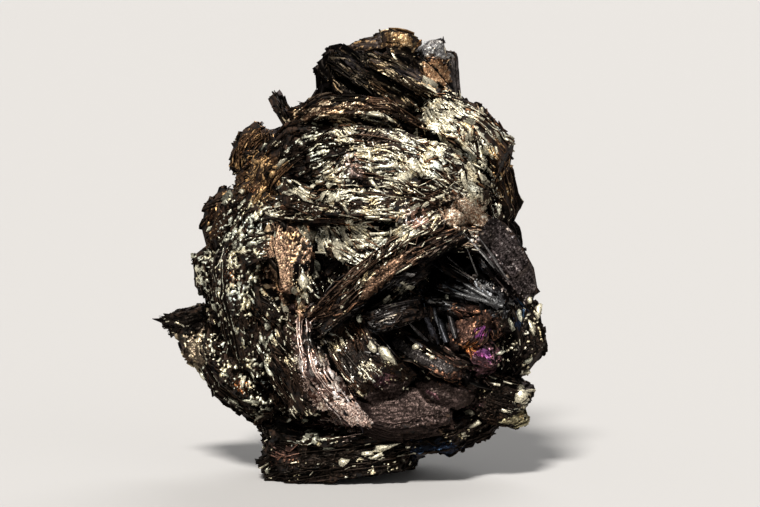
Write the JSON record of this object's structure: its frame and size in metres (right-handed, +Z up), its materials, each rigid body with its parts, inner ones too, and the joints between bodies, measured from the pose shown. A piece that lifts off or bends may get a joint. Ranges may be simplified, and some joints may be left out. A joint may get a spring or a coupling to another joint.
{
  "type": "covellite specimen",
  "caption": "Natural covellite specimen: one mass of intergrown, curved plate crystals with a bladed recess, standing on a small flat cut.",
  "frame": {"origin": "on the flat cut that the specimen stands on, under its middle", "axes": "+Z up out of the flat cut, +X to the right as seen from the front, +Y from the front to the back"},
  "size_m": [0.0694, 0.0507, 0.0797],
  "materials": {
    "covellite": "dark, semi-metallic, with brown tarnish and pale cream glints along the plate edges"
  },
  "bodies": {
    "root": {"covellite_specimen": "covellite"}
  },
  "joints": []
}
